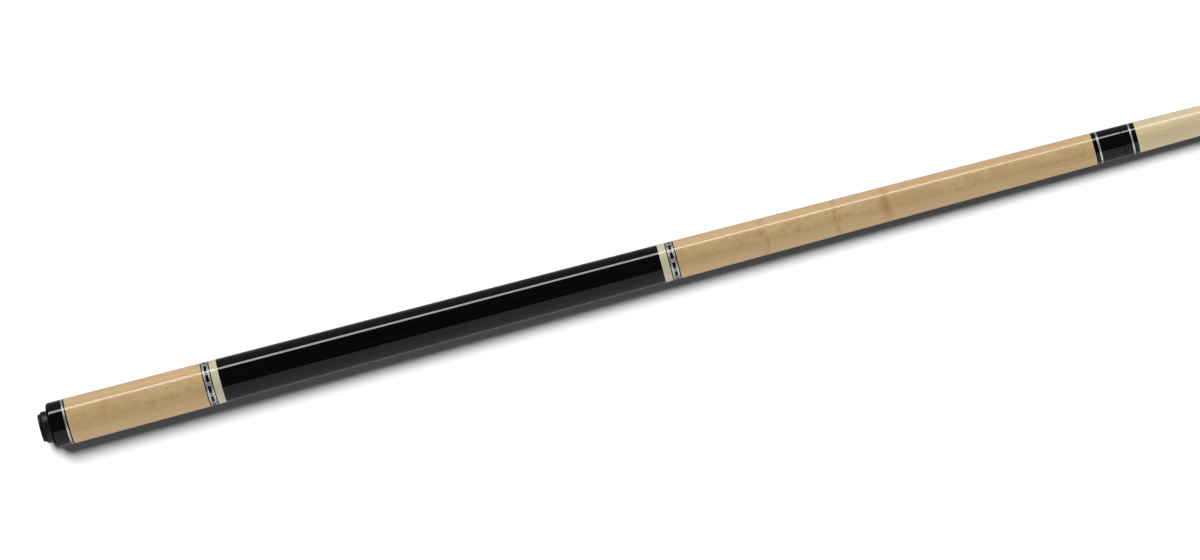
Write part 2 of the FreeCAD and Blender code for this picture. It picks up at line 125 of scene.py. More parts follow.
def colour(red, green, blue):
    """Colour as a paint chart gives it, 0 to 255, for a shader."""
    shares = [level / 255 for level in (red, green, blue)]
    linear = [c / 12.92 if c <= 0.04045 else ((c + 0.055) / 1.055) ** 2.4 for c in shares]
    return (*linear, 1.0)


class Finish:
    """A surface finish, built from shader nodes on the piece's own coordinates."""

    def __init__(self, name, **sockets):
        self.material = bpy.data.materials.new(name)
        self.material.use_nodes = True
        self.tree = self.material.node_tree
        self.shader = self.tree.nodes["Principled BSDF"]
        self.place = self.add("ShaderNodeTexCoord").outputs["Object"]
        for socket, value in sockets.items():
            self.shader.inputs[socket.replace("_", " ")].default_value = value

    def add(self, kind, sockets=(), **settings):
        """A shader node with its settings, and with a value or a link at each socket given."""
        node = self.tree.nodes.new(kind)
        for key, value in settings.items():
            setattr(node, key, value)
        for key, value in dict(sockets).items():
            if isinstance(value, bpy.types.NodeSocket):
                self.tree.links.new(value, node.inputs[key])
            else:
                node.inputs[key].default_value = value
        return node

    def use(self, socket, value):
        """Lets a node's output drive a socket of the surface itself."""
        self.tree.links.new(value, self.shader.inputs[socket])

    def stretch(self, scale, place=None):
        """The coordinates with their own scale along the cue and across it."""
        mapping = self.add("ShaderNodeMapping", {"Vector": place or self.place, "Scale": scale})
        return mapping.outputs[0]

    def noise(self, scale, detail=2.0, roughness=0.5, distortion=0.0, place=None):
        """Noise whose lumps are 1/scale metres long in each direction, from 0 to 1."""
        node = self.add("ShaderNodeTexNoise", {
            "Vector": self.stretch(scale, place), "Scale": 1.0, "Detail": detail,
            "Roughness": roughness, "Distortion": distortion})
        return node.outputs["Fac"]

    def ramp(self, value, *stops):
        """Colour from stops of (value, colour)."""
        node = self.add("ShaderNodeValToRGB", {"Fac": value})
        elements = node.color_ramp.elements
        while len(elements) < len(stops):
            elements.new(0.5)
        for element, (position, shade) in zip(elements, stops):
            element.position = position
            element.color = shade
        return node.outputs["Color"]

    def scale_to(self, value, low, high, to_low=0.0, to_high=1.0):
        """A value eased from one range to another."""
        node = self.add("ShaderNodeMapRange", {
            "Value": value, "From Min": low, "From Max": high, "To Min": to_low, "To Max": to_high},
            interpolation_type="SMOOTHSTEP")
        return node.outputs["Result"]

    def blend(self, amount, below, above):
        """One colour over another."""
        node = self.add("ShaderNodeMix", {0: amount, 6: below, 7: above}, data_type="RGBA")
        return node.outputs[2]

    def maths(self, operation, first, second=0.0):
        """One step of arithmetic."""
        return self.add("ShaderNodeMath", {0: first, 1: second}, operation=operation).outputs[0]

    def bump(self, height, strength, depth):
        """Relief of the given depth in metres."""
        node = self.add("ShaderNodeBump", {"Height": height, "Strength": strength, "Distance": depth})
        self.use("Normal", node.outputs["Normal"])


BUMPER_LIP = 0.0092                    # radius of the foot's lip
BUMPER_LIP_LENGTH = 0.0012
BUMPER_LIP_EDGE = 0.0005               # radius of the lip's rounded edge
BUMPER_SLOPE_END = 0.0028
BUMPER_SLOPE_BREAK = 0.0002            # chamfer where the slope meets the side
BUMPER_SEAT = 0.0104                   # radius where the rubber meets the cap
BUMPER_SEAT_BREAK = 0.0001
PLATE_POCKET = 0.00805                 # radius of the pocket round the plate
PLATE_ROOM = 0.00003                   # room behind the plate
FLANGE_RADIUS = 0.0055
FLANGE_THICKNESS = 0.0015

rubber = Finish("moulded_rubber", Specular_IOR_Level=0.42)
rubber_skin = rubber.noise((900, 900, 900), detail=5, roughness=0.6)
rubber_dust = rubber.noise((260, 190, 190), detail=4, roughness=0.62)
rubber.use("Base Color", rubber.ramp(
    rubber_dust, (0.35, colour(19, 19, 20)), (0.75, colour(34, 33, 33))))
rubber.use("Roughness", rubber.scale_to(rubber_dust, 0.3, 0.75, 0.34, 0.52))
rubber.bump(rubber_skin, 0.35, 0.00006)

bumper_start, bumper_end, bumper_radius = reach("bumper")
plate_start = reach("bumper_plate")[0]
pocket_start = plate_start - PLATE_ROOM
flange_start = plate_start - FLANGE_THICKNESS
lip_shoulder = BUMPER_LIP - BUMPER_LIP_EDGE
bumper_outline = [(bumper_start, 0), (bumper_start, lip_shoulder)]
bumper_outline += arc(bumper_start + BUMPER_LIP_EDGE, lip_shoulder, BUMPER_LIP_EDGE, 180, 90)[1:]
bumper_outline += [(BUMPER_LIP_LENGTH, BUMPER_LIP),
                   (BUMPER_SLOPE_END, bumper_radius - BUMPER_SLOPE_BREAK),
                   (BUMPER_SLOPE_END + BUMPER_SLOPE_BREAK, bumper_radius),
                   (bumper_end - BUMPER_SEAT_BREAK, BUMPER_SEAT),
                   (bumper_end, BUMPER_SEAT - BUMPER_SEAT_BREAK), (bumper_end, PLATE_POCKET),
                   (pocket_start, PLATE_POCKET), (pocket_start, FLANGE_RADIUS),
                   (flange_start, FLANGE_RADIUS), (flange_start, 0)]
fit(turn("rubber_bumper", bumper_outline), rubber.material, "rubber", "bumper", "bumper")


# ---- Bumper plate and stud, weight bolt and hidden screw ----------------------------------------
# Cut steel parts with a thin zinc plating. The plate and the stud are moulded into the rubber, the
# bolt is driven up the butt's bore to set the weight, and the headless screw pulls the butt together.

zinc = Finish("zinc_plated_steel", Metallic=1.0)
zinc_cloud = zinc.noise((420, 420, 420), detail=4)
zinc_lathe = zinc.noise((9000, 60, 60), detail=1)
zinc.use("Base Color", zinc.ramp(
    zinc_cloud, (0.3, colour(150, 152, 156)), (0.7, colour(188, 190, 194))))
zinc.use("Roughness", zinc.scale_to(zinc_cloud, 0.2, 0.8, 0.24, 0.42))
zinc.bump(zinc_lathe, 0.25, 0.00002)


def refinish(node, finish):
    """Gives a CAD node that keeps its own shape a better finish."""
    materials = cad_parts[node].data.materials
    materials.clear()
    materials.append(finish)


for steel_node in ("bumper_plate", "bumper_stud", "weight_bolt", "handle_screw"):
    refinish(steel_node, zinc.material)


# ---- Threaded inserts ---------------------------------------------------------------------------
# Free-cutting brass, turned and tapped, glued into the handle's rear end and into the shaft. The
# bumper's stud and the joint pin screw into them, and their faces stay bright from use.

brass = Finish("turned_brass", Metallic=1.0)
brass_cloud = brass.noise((300, 300, 300), detail=4)
brass_lathe = brass.noise((12000, 80, 80), detail=1)
brass.use("Base Color", brass.ramp(
    brass_cloud, (0.3, colour(190, 148, 74)), (0.7, colour(222, 184, 108))))
brass.use("Roughness", brass.scale_to(brass_cloud, 0.2, 0.8, 0.2, 0.36))
brass.bump(brass_lathe, 0.3, 0.00002)
for brass_node in ("end_insert", "shaft_insert"):
    refinish(brass_node, brass.material)


# ---- Butt cap -----------------------------------------------------------------------------------
# A black cast-resin cap, turned with a rounded rear corner and glued over the handle's rear tenon.
# It is lacquered and buffed with the rest of the butt, so that it is as glossy as the wood.

CAP_CORNER = 0.002                     # radius of the rear corner
CAP_CORNER_STEPS = 14
CAP_HOLE = 0.00445                     # radius of the hole for the bumper's stud
CAP_WALL = 0.003
REAR_TENON = 0.009                     # radius of the handle's rear tenon
LACQUER = {"Coat_Weight": 1.0, "Coat_Roughness": 0.02, "Coat_IOR": 1.5}

cap_start, cap_end, cap_radius = reach("butt_cap")


def butt_radius(x):
    """Outside radius of the butt: straight tapers between the pieces that end one."""
    tapers = [reach(node) for node in ("butt_cap", "handle", "forearm_ivory_ring", "joint_collar")]
    stations = [(start, radius) for start, _, radius in tapers]
    stations[0] = (cap_start + CAP_CORNER, cap_radius)
    stations[1] = (reach("butt_ivory_ring")[1], stations[1][1])
    for (x0, r0), (x1, r1) in zip(stations, stations[1:]):
        if x <= x1:
            break
    return r0 + (r1 - r0) * (x - x0) / (x1 - x0)


black_resin = Finish("lacquered_black_resin", Specular_IOR_Level=0.0, Roughness=0.5, **LACQUER)
resin_swirl = black_resin.noise((120, 160, 160), detail=3, distortion=0.4)
black_resin.use("Base Color", black_resin.ramp(
    resin_swirl, (0.3, colour(9, 9, 10)), (0.7, colour(13, 13, 14))))

cap_inside = cap_start + CAP_WALL
cap_outline = [(cap_start, CAP_HOLE)]
cap_outline += arc(cap_start + CAP_CORNER, cap_radius - CAP_CORNER, CAP_CORNER, 180, 90,
                   CAP_CORNER_STEPS)
cap_outline += [(cap_end, butt_radius(cap_end)), (cap_end, REAR_TENON), (cap_inside, REAR_TENON),
                (cap_inside, CAP_HOLE), (cap_start, CAP_HOLE)]
fit(turn("turned_cap", cap_outline), black_resin.material, "black_resin", "butt", "butt_cap")


# ---- Hairline rings of the cap and the joint ----------------------------------------------------
# Two thin silver rings with a black ring between them and a wider black one beside them, parted
# off tube stock, threaded onto the tenon one after the other and glued.

FRONT_TENON = 0.0075                   # radius of the forearm's front tenon

silver = Finish("lacquered_silver", Metallic=1.0, **LACQUER)
silver_cloud = silver.noise((1500, 240, 240), detail=3)
silver.use("Base Color", silver.ramp(
    silver_cloud, (0.3, colour(196, 197, 196)), (0.7, colour(224, 225, 224))))
silver.use("Roughness", silver.scale_to(silver_cloud, 0.2, 0.8, 0.26, 0.40))


def ring(name, x0, x1, r0, r1, bore):
    """Turned ring with a tapered outside and a straight bore."""
    return turn(name, [(x0, bore), (x0, r0), (x1, r1), (x1, bore), (x0, bore)])


def join(name, pieces):
    """Like pieces of one group as one mesh."""
    bpy.ops.object.select_all(action="DESELECT")
    for piece in pieces:
        piece.select_set(True)
    bpy.context.view_layer.objects.active = pieces[0]
    bpy.ops.object.join()
    pieces[0].name = pieces[0].data.name = name
    return pieces[0]


def hairlines(prefix, body, radius, bore, silver_bore):
    """A hairline pair with its trim ring, in turn silver and black. Returns a silver ring's width."""
    silver_start, silver_end, _ = reach(prefix + "_silver_rings")
    black_start, black_end, _ = reach(prefix + "_black_rings")
    edges = {silver_start, silver_end, black_start, black_end}
    if black_start > silver_start:     # the trim ring comes after the pair
        width = black_start - silver_start
        edges |= {silver_end - width}
    else:
        width = silver_end - black_end
        edges |= {silver_start + width}
    edges = sorted(edges)
    silver_rings = []
    black_rings = []
    for x0, x1 in zip(edges, edges[1:]):
        is_silver = abs(x1 - x0 - width) < WELD
        made = silver_rings if is_silver else black_rings
        ring_bore = silver_bore if is_silver else bore
        made.append(ring("ring", x0, x1, radius(x0), radius(x1), ring_bore))
    silver_body = "shaft_carrier" if body == "shaft" else body
    fit(join(prefix + "_hairlines", silver_rings), silver.material, "silver", silver_body,
        prefix + "_silver_rings")
    fit(join(prefix + "_trim_rings", black_rings), black_resin.material, "black_resin", body,
        prefix + "_black_rings")
    return width


hairline = hairlines("cap", "butt", butt_radius, REAR_TENON, REAR_TENON)
hairlines("joint", "butt", butt_radius, FRONT_TENON, FRONT_TENON)


# ---- Maple sleeve and forearm -------------------------------------------------------------------
# Hard maple, turned with its quarter-sawn faces above and below: fine cross flecks there, straight
# fine grain at the sides, and a few curls in the forearm. Sealed, lacquered thick and buffed.

FOREARM_TENON = 0.008                  # radius of the forearm's rear tenon
FOREARM_TENON_LENGTH = 0.038
HANDLE_SCREW = 0.00397                 # radius of the hidden screw's hole
SCREW_HALF = 0.030                     # half of the hidden screw's length
SCREW_ROOM = 0.0005
PIN_BORE = 0.00397                     # radius of the joint pin's hole
PIN_BORE_DEPTH = 0.036
PIN_RELIEF = 0.002                     # depth of the wider mouth of that hole
PIN_RELIEF_RADIUS = 0.00435
SWAY = (0.006, 0.0012, 0.0012)         # how far the grain wanders, along and across
FIGURE_TURN = 0.08                     # the quarter-sawn faces are turned a little to the side
ARC_PITCH = 0.00125                    # the fleck figure: bowed lines across the cue
ARC_BOW = 420.0
CURLS = ((0.0590, 0.0022), (0.1085, 0.0018), (0.1420, 0.0032))   # past the forearm's start, half width
CURL_FADE = 1.7                        # where a curl has faded out, in its half widths
PAINTED_GLINT_PLACE = 1.6                      # where the painted highlight beside it runs, in the same
PAINTED_GLINT_HALF = 0.001                     # half width of that painted highlight
WOOD_LACQUER = {"Coat_Weight": 0.72, "Coat_Roughness": 0.02, "Coat_IOR": 1.5}

maple = Finish("figured_maple", Specular_IOR_Level=0.15, Roughness=0.45, **WOOD_LACQUER)


def wander(finish, scale, amounts):
    """The finish's coordinates, swayed to and fro so that its grain isn't ruled straight."""
    lumps = finish.add("ShaderNodeTexNoise", {
        "Vector": finish.stretch(scale), "Scale": 1.0, "Detail": 2.0}).outputs["Color"]
    centred = finish.add("ShaderNodeVectorMath", {0: lumps, 1: (0.5, 0.5, 0.5)}, operation="SUBTRACT")
    sway = finish.add("ShaderNodeVectorMath", {0: centred.outputs[0], 1: amounts}, operation="MULTIPLY")
    return finish.add("ShaderNodeVectorMath", {0: finish.place, 1: sway.outputs[0]},
                      operation="ADD").outputs[0]


swayed = wander(maple, (70, 160, 160), SWAY)
along = maple.add("ShaderNodeSeparateXYZ", {"Vector": swayed}).outputs["X"]

# how far a point is quarter-sawn: 1 above and below, 0 at the sides
plain = maple.add("ShaderNodeSeparateXYZ", {"Vector": maple.place})
turned = maple.maths("MULTIPLY", plain.outputs["Z"], FIGURE_TURN)
across = maple.maths("SUBTRACT", plain.outputs["Y"], turned)
across2 = maple.maths("MULTIPLY", across, across)
depth2 = maple.maths("MULTIPLY", plain.outputs["Z"], plain.outputs["Z"])
facing = maple.maths("DIVIDE", depth2, maple.maths("ADD", across2, depth2))
quarter = maple.scale_to(facing, 0.72, 0.93)

# straight grain at the sides, a quieter tone on the quarter-sawn faces
grain = maple.noise((4, 2000, 420), detail=4, roughness=0.62, place=swayed)
tone = maple.noise((24, 50, 50), detail=2)
straight_wood = maple.ramp(grain, (0.34, colour(197, 163, 118)), (0.5, colour(206, 173, 128)),
                           (0.66, colour(213, 181, 137)))
quarter_wood = maple.ramp(tone, (0.3, colour(199, 168, 121)), (0.5, colour(203, 174, 126)),
                          (0.7, colour(206, 179, 131)))
wood = maple.blend(quarter, straight_wood, quarter_wood)
streaks = maple.noise((4, 330, 120), detail=3, roughness=0.55, place=swayed)
wood = maple.blend(maple.scale_to(streaks, 0.35, 0.7, 0.0, 0.18), wood, colour(188, 152, 104))

# the quarter-sawn faces' figure: bowed lines in patches, smudges and fine flecks
bow = maple.maths("SUBTRACT", maple.noise((62, 0, 0), detail=1), 0.5)
bow = maple.maths("MULTIPLY", maple.maths("MULTIPLY", bow, ARC_BOW), across2)
arc_phase = maple.maths("MULTIPLY", maple.maths("ADD", along, bow), math.tau / ARC_PITCH)
arcs = maple.scale_to(maple.maths("SINE", arc_phase), -0.4, 1.0)
patches = maple.scale_to(maple.noise((110, 170, 130), detail=2), 0.42, 0.62, 0.15, 1.0)
arcs = maple.maths("MULTIPLY", maple.maths("MULTIPLY", arcs, patches), quarter)
wood = maple.blend(maple.maths("MULTIPLY", arcs, 0.40), wood, colour(166, 130, 80))
smudges = maple.noise((150, 250, 200), detail=3, roughness=0.6)
smudges = maple.scale_to(smudges, 0.50, 0.68, 0.0, 0.40)
wood = maple.blend(maple.maths("MULTIPLY", smudges, quarter), wood, colour(172, 138, 86))
flecks = maple.noise((2000, 900, 2400), detail=2, roughness=0.6)
flecks = maple.scale_to(flecks, 0.50, 0.68, 0.0, 0.26)
wood = maple.blend(maple.maths("MULTIPLY", flecks, quarter), wood, colour(158, 122, 74))
pores = maple.noise((260, 2600, 2600), detail=2, roughness=0.6)
wood = maple.blend(maple.scale_to(pores, 0.56, 0.74, 0.0, 0.16), wood, colour(166, 130, 84))

# the forearm's curls: a darker, rippled band, with a pale line beside it that is a painted highlight
forearm_start = reach("forearm_ring_black")[1]
ripple = maple.noise((230, 130, 130), detail=2)
for curl_place, curl_half in CURLS:
    past = maple.maths("SUBTRACT", along, forearm_start + curl_place)
    curl = maple.scale_to(maple.maths("ABSOLUTE", past), curl_half * CURL_FADE, 0.0, 0.0, 1.0)
    curl = maple.maths("MULTIPLY", curl, maple.scale_to(ripple, 0.34, 0.58, 0.12, 0.85))
    curl = maple.maths("MULTIPLY", curl, maple.scale_to(quarter, 0.0, 1.0, 0.6, 1.0))
    wood = maple.blend(curl, wood, colour(178, 136, 76))
    # painted highlight: a pale line beside each curl, standing in for light glancing off the curl
    painted_glint = maple.maths("ABSOLUTE", maple.maths("SUBTRACT", past, curl_half * PAINTED_GLINT_PLACE))
    wood = maple.blend(maple.scale_to(painted_glint, PAINTED_GLINT_HALF, 0.0, 0.0, 0.2), wood, colour(218, 188, 148))
maple.use("Base Color", wood)


def butt_ring(name, x0, x1, bore):
    """Ring of the butt's lacquered outside."""
    return ring(name, x0, x1, butt_radius(x0), butt_radius(x1), bore)


sleeve_start, sleeve_end, _ = reach("butt_sleeve")
sleeve = butt_ring("maple_sleeve", sleeve_start, sleeve_end, REAR_TENON)
fit(sleeve, maple.material, "maple", "butt", "butt_sleeve")

handle_end = reach("handle")[1]
joint_face = reach("joint_collar")[1]
forearm_end = reach("joint_black_rings")[0]
forearm_rear = handle_end - FOREARM_TENON_LENGTH
screw_middle = forearm_rear - SCREW_ROOM
screw_bottom = screw_middle + SCREW_HALF + SCREW_ROOM
relief_bottom = joint_face - PIN_RELIEF
pin_bottom = joint_face - PIN_BORE_DEPTH
forearm_outline = [(forearm_rear, HANDLE_SCREW), (forearm_rear, FOREARM_TENON),
                   (forearm_start, FOREARM_TENON), (forearm_start, butt_radius(forearm_start)),
                   (forearm_end, butt_radius(forearm_end)), (forearm_end, FRONT_TENON),
                   (joint_face, FRONT_TENON), (joint_face, PIN_RELIEF_RADIUS),
                   (relief_bottom, PIN_RELIEF_RADIUS), (relief_bottom, PIN_BORE),
                   (pin_bottom, PIN_BORE), (pin_bottom, 0), (screw_bottom, 0),
                   (screw_bottom, HANDLE_SCREW), (forearm_rear, HANDLE_SCREW)]
fit(turn("maple_forearm", forearm_outline), maple.material, "maple", "butt", "forearm")


# ---- Decorative rings ---------------------------------------------------------------------------
# A black band with silver bars let into it in pairs, between two hairline pairs and two plain
# black edges. The bars are strips pressed into sawn slots, and the whole stack is turned flush.

BAR_PAIRS = 12
BAR_PAIR_ANGLE = math.radians(6.2)     # between the two bars of a pair
BAR_WIDTH = 0.00095
BAR_DEPTH = 0.0008
BLANK_OVERHANG = 0.001


def bar_blanks(x0, x1):
    """Square strips round the axis, a little too long, to be cut flush by the band."""
    middle = (x0 + x1) / 2
    place = (middle, 0, butt_radius(middle))
    bpy.ops.object.select_all(action="DESELECT")
    bpy.ops.mesh.primitive_cube_add(size=1, location=place, enter_editmode=True)
    bpy.ops.transform.resize(value=(x1 - x0 + 2 * BLANK_OVERHANG, BAR_WIDTH, 2 * BAR_DEPTH),
                             center_override=place)
    bpy.ops.mesh.spin(steps=1, dupli=True, angle=BAR_PAIR_ANGLE, center=(0, 0, 0), axis=(1, 0, 0))
    bpy.ops.mesh.select_all(action="SELECT")
    bpy.ops.transform.rotate(value=-BAR_PAIR_ANGLE / 2, orient_axis="X", center_override=(0, 0, 0))
    bpy.ops.mesh.spin(steps=BAR_PAIRS - 1, dupli=True, angle=math.tau * (BAR_PAIRS - 1) / BAR_PAIRS,
                      center=(0, 0, 0), axis=(1, 0, 0))
    return finish_mesh("bar_blanks")


def cut(piece, tool, operation):
    """Cuts the piece with the tool, and keeps its smooth shading."""
    bpy.ops.object.select_all(action="DESELECT")
    piece.select_set(True)
    bpy.context.view_layer.objects.active = piece
    modifier = piece.modifiers.new("cut", "BOOLEAN")
    modifier.operation = operation
    modifier.solver = "EXACT"
    modifier.object = tool
    bpy.ops.object.modifier_apply(modifier="cut")
    bpy.ops.object.shade_smooth_by_angle(angle=SMOOTH_ANGLE)


def decorative_ring(prefix, bore):
    """The five kinds of ring in one decorative ring, from its nodes' places."""
    black_start, black_end, _ = reach(prefix + "_ring_black")
    silver_start, silver_end, _ = reach(prefix + "_ring_silver")
    band_start, band_end, _ = reach(prefix + "_ring_band")
    inner = [(band_start - hairline, band_start), (band_end, band_end + hairline)]
    outer = [(silver_start, silver_start + hairline), (silver_end - hairline, silver_end)]
    silver_rings = [butt_ring("ring", x0, x1, bore) for x0, x1 in inner + outer]
    gaps = [(black_start, silver_start), (silver_start + hairline, band_start - hairline),
            (band_end + hairline, silver_end - hairline), (silver_end, black_end)]
    black_rings = [butt_ring("ring", x0, x1, bore) for x0, x1 in gaps]
    fit(join(prefix + "_ring_hairlines", silver_rings), silver.material, "silver", "butt",
        prefix + "_ring_silver")
    fit(join(prefix + "_ring_edges", black_rings), black_resin.material, "black_resin", "butt",
        prefix + "_ring_black")
    blanks = bar_blanks(band_start, band_end)
    band = butt_ring(prefix + "_ring_slotted_band", band_start, band_end, bore)
    bars = butt_ring(prefix + "_ring_inlaid_bars", band_start, band_end, bore)
    cut(band, blanks, "DIFFERENCE")
    cut(bars, blanks, "INTERSECT")
    bpy.data.objects.remove(blanks)
    fit(band, black_resin.material, "black_resin", "butt", prefix + "_ring_band")
    fit(bars, silver.material, "silver", "butt", prefix + "_ring_bars")


decorative_ring("butt", REAR_TENON)
decorative_ring("forearm", FOREARM_TENON)


# ---- Ivory-coloured rings -----------------------------------------------------------------------
# Cream cast resin, made to look like ivory: faintly clouded, with hair-thin lines along the cue.
# One ring stands at each end of the handle, glued over the tenons like the others.

ivory = Finish("cream_resin", Specular_IOR_Level=0.2, Roughness=0.4, **WOOD_LACQUER)
ivory_cloud = ivory.noise((90, 150, 150), detail=4, distortion=0.5)
ivory_lines = ivory.noise((60, 2600, 2600), detail=2)
cream = ivory.ramp(ivory_cloud, (0.3, colour(197, 192, 159)), (0.7, colour(207, 203, 173)))
ivory.use("Base Color", ivory.blend(
    ivory.scale_to(ivory_lines, 0.5, 0.75, 0.0, 0.35), cream, colour(184, 178, 143)))

for prefix, ivory_bore in (("butt", REAR_TENON), ("forearm", FOREARM_TENON)):
    ivory_start, ivory_end, _ = reach(prefix + "_ivory_ring")
    cream_ring = butt_ring(prefix + "_cream_ring", ivory_start, ivory_end, ivory_bore)
    fit(cream_ring, ivory.material, "ivory_resin", "butt", prefix + "_ivory_ring")


# ---- Handle -------------------------------------------------------------------------------------
# Ebony, almost black, with the faintest brown streaks along the grain. It runs from the cap's wall
# to the forearm as one piece: rear tenon, bore for insert and weight bolt, grip, forearm socket.

END_BORE = 0.006                       # radius of the bore for the insert and the weight bolt
BOLT_ROOM = 0.003                      # air past the bolt's end

ebony = Finish("lacquered_ebony", Specular_IOR_Level=0.0, Roughness=0.5, **LACQUER)
ebony_streaks = ebony.noise((6, 700, 700), detail=4, roughness=0.65, distortion=0.2)
ebony_fine = ebony.noise((30, 3200, 3200), detail=2)
ebony_wood = ebony.ramp(ebony_streaks, (0.42, colour(8, 7, 8)), (0.62, colour(13, 11, 12)),
                        (0.78, colour(30, 22, 20)))
ebony.use("Base Color", ebony.blend(
    ebony.scale_to(ebony_fine, 0.55, 0.8, 0.0, 0.35), ebony_wood, colour(24, 18, 17)))

handle_start = reach("butt_ivory_ring")[1]
bore_bottom = reach("weight_bolt")[1] + BOLT_ROOM
screw_start = screw_middle - SCREW_HALF
handle_outline = [(cap_inside, END_BORE), (cap_inside, REAR_TENON), (handle_start, REAR_TENON),
                  (handle_start, butt_radius(handle_start)), (handle_end, butt_radius(handle_end)),
                  (handle_end, FOREARM_TENON), (screw_middle, FOREARM_TENON),
                  (screw_middle, HANDLE_SCREW), (screw_start, HANDLE_SCREW), (screw_start, 0),
                  (bore_bottom, 0), (bore_bottom, END_BORE), (cap_inside, END_BORE)]
fit(turn("ebony_handle", handle_outline), ebony.material, "ebony", "butt", "handle")


# ---- Joint collars ------------------------------------------------------------------------------
# Black resin collars on both sides of the joint, faced square so that they meet without a gap.
# Their outer edges are broken with a hair-thin chamfer, left by the facing tool.

JOINT_EDGE = 0.00025
SHAFT_TENON = 0.007                    # radius of the shaft's rear tenon
TURNING_ROOM = 0.00005                 # room round what turns inside the silver rings
SHAFT_SLOPE = 0.01375                  # loss of radius along the shaft

joint_radius = butt_radius(joint_face)


def shaft_radius(x):
    """Outside radius of the shaft's straight taper."""
    return joint_radius - SHAFT_SLOPE * (x - joint_face)


collar_start = reach("joint_collar")[0]
collar_edge = joint_face - JOINT_EDGE
collar_outline = [(collar_start, FRONT_TENON), (collar_start, butt_radius(collar_start)),
                  (collar_edge, butt_radius(collar_edge)), (joint_face, joint_radius - JOINT_EDGE),
                  (joint_face, FRONT_TENON), (collar_start, FRONT_TENON)]
fit(turn("butt_joint_collar", collar_outline), black_resin.material, "black_resin", "butt",
    "joint_collar")

shaft_collar_end = reach("shaft_collar")[1]
shaft_edge = joint_face + JOINT_EDGE
shaft_collar_outline = [(joint_face, SHAFT_TENON), (joint_face, joint_radius - JOINT_EDGE),
                        (shaft_edge, shaft_radius(shaft_edge)),
                        (shaft_collar_end, shaft_radius(shaft_collar_end)),
                        (shaft_collar_end, SHAFT_TENON), (joint_face, SHAFT_TENON)]
fit(turn("shaft_joint_collar", shaft_collar_outline), black_resin.material, "black_resin", "shaft",
    "shaft_collar")
hairlines("shaft", "shaft", shaft_radius, SHAFT_TENON, SHAFT_TENON + TURNING_ROOM)


# ---- Joint pin ----------------------------------------------------------------------------------
# Stainless steel, turned and polished: a coarse flat-bottomed thread, then a plain guide with a
# rounded end that finds the shaft's insert. Its grooved shank is glued deep in the forearm.

steel = Finish("polished_steel", Metallic=1.0)
steel_cloud = steel.noise((500, 500, 500), detail=3)
steel_lathe = steel.noise((14000, 90, 90), detail=1)
steel.use("Base Color", steel.ramp(
    steel_cloud, (0.3, colour(200, 200, 201)), (0.7, colour(222, 222, 222))))
steel.use("Roughness", steel.scale_to(steel_cloud, 0.2, 0.8, 0.10, 0.2))
steel.bump(steel_lathe, 0.15, 0.00001)
refinish("joint_pin", steel.material)


# ---- Shaft --------------------------------------------------------------------------------------
# Straight-grained maple, turned to a long taper and sanded silky. It is sealed with a clear satin
# finish, glossier beside the joint where the lacquer is sprayed over the rings.

SHAFT_EASE = 0.120                     # half length of the curve where the taper turns parallel
SHAFT_EASE_STEPS = 10                  # straight pieces that make up that curve
FERRULE_TENON = 0.004                  # radius of the tenon inside the ferrule
FERRULE_WALL = 0.005

shaft_maple = Finish("straight_maple", Specular_IOR_Level=0.3, Roughness=0.4, Coat_Weight=0.65,
                     Coat_Roughness=0.06, Coat_IOR=1.5)
shaft_grain = shaft_maple.noise((5, 1500, 420), detail=4, roughness=0.6)
shaft_pores = shaft_maple.noise((220, 2800, 2800), detail=2, roughness=0.6)
shaft_cloud = shaft_maple.noise((16, 120, 120), detail=3)
pale_wood = shaft_maple.ramp(shaft_grain, (0.25, colour(206, 187, 144)), (0.5, colour(217, 200, 159)),
                             (0.75, colour(225, 209, 171)))
pale_wood = shaft_maple.blend(shaft_maple.scale_to(shaft_cloud, 0.35, 0.75, 0.0, 0.3), pale_wood,
                              colour(205, 182, 138))
pale_wood = shaft_maple.blend(shaft_maple.scale_to(shaft_pores, 0.58, 0.75, 0.0, 0.3), pale_wood,
                              colour(176, 150, 100))
shaft_maple.use("Base Color", pale_wood)

shaft_start = reach("shaft_black_rings")[1]
ferrule_start, ferrule_end, tip_radius = reach("ferrule")
ease_end = joint_face + (joint_radius - tip_radius) / SHAFT_SLOPE + SHAFT_EASE
_, insert_end, insert_radius = reach("shaft_insert")
ferrule_bottom = ferrule_end - FERRULE_WALL
shaft_outline = [(joint_face, insert_radius), (joint_face, SHAFT_TENON), (shaft_start, SHAFT_TENON),
                 (shaft_start, shaft_radius(shaft_start))]
for step in range(SHAFT_EASE_STEPS + 1):
    left = 2 * SHAFT_EASE * (1 - step / SHAFT_EASE_STEPS)
    rise = SHAFT_SLOPE * left ** 2 / (4 * SHAFT_EASE)
    shaft_outline.append((ease_end - left, tip_radius + rise))
shaft_outline += [(ferrule_start, tip_radius), (ferrule_start, FERRULE_TENON),
                  (ferrule_bottom, FERRULE_TENON), (ferrule_bottom, 0), (insert_end, 0),
                  (insert_end, insert_radius), (joint_face, insert_radius)]
fit(turn("tapered_shaft", shaft_outline), shaft_maple.material, "shaft_maple", "shaft", "shaft")


# ---- Ferrule, pad and tip -----------------------------------------------------------------------
# A white resin ferrule capped over the shaft's tenon, a thin fibre pad, and a tip of pressed
# leather layers, glued on and shaped to a dome. The side is burnished, the crown is left rough.

TIP_SIDE = 0.0042                      # length of the burnished side
TIP_SWELL = 0.00015                    # how far that side bulges
TIP_STEPS = 10

